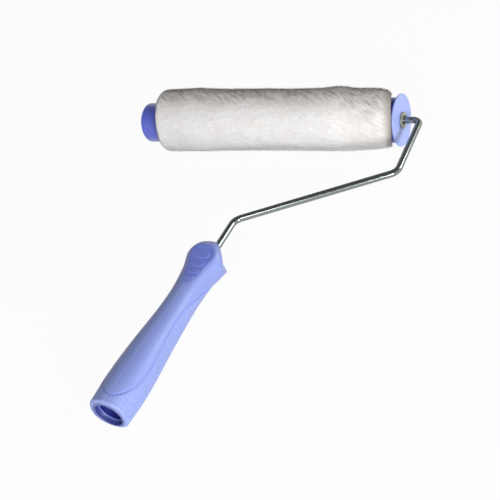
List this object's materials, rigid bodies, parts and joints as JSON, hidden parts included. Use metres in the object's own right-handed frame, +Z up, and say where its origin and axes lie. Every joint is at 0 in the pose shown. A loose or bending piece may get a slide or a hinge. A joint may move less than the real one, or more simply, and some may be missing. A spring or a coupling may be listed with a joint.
{
  "type": "paint roller",
  "caption": "Hand paint roller: nap cover on a plastic tube that turns on a bent steel rod, with a moulded handle open at its end for a pole.",
  "frame": {"origin": "middle of the bounding box's bottom, on the table it rests on", "axes": "+X along the roller towards the rod's bend, +Y from the handle to the roller, +Z up; the rod's plane leans 2.4 degrees down towards the handle"},
  "size_m": [0.2942, 0.3752, 0.0559],
  "materials": {
    "handle_plastic": "moulded, satin, light blue",
    "roller_plastic": "moulded, smooth, mid blue",
    "disc_plastic": "moulded, satin, light blue",
    "plated_steel": "bright plated wire",
    "washer_steel": "plain plated",
    "bush_plastic": "natural, satin",
    "core_board": "smooth liner",
    "nap_fabric": "short woven pile"
  },
  "bodies": {
    "frame": {"frame_rod": "plated_steel", "push_nut": "washer_steel", "handle": "handle_plastic"},
    "washer": {"thrust_washer": "washer_steel"},
    "roller": {"core_tube": "roller_plastic", "splash_disc": "disc_plastic", "end_cap": "roller_plastic", "bush_frame_side": "bush_plastic", "bush_free_side": "bush_plastic"},
    "sleeve": {"sleeve_core": "core_board", "pile_cover": "nap_fabric"}
  },
  "joints": [
    {"name": "roller_spin", "type": "hinge", "parent": "frame", "child": "roller", "pos_m": [0.12607, 0.15982, 0.02808], "axis": [1, 0, 0], "continuous": true},
    {"name": "washer_spin", "type": "hinge", "parent": "frame", "child": "washer", "pos_m": [0.12607, 0.15982, 0.02808], "axis": [1, 0, 0], "continuous": true},
    {"name": "sleeve_slide", "type": "slide", "parent": "roller", "child": "sleeve", "axis": [1, 0, 0], "range_m": [-0.25, 0]}
  ]
}
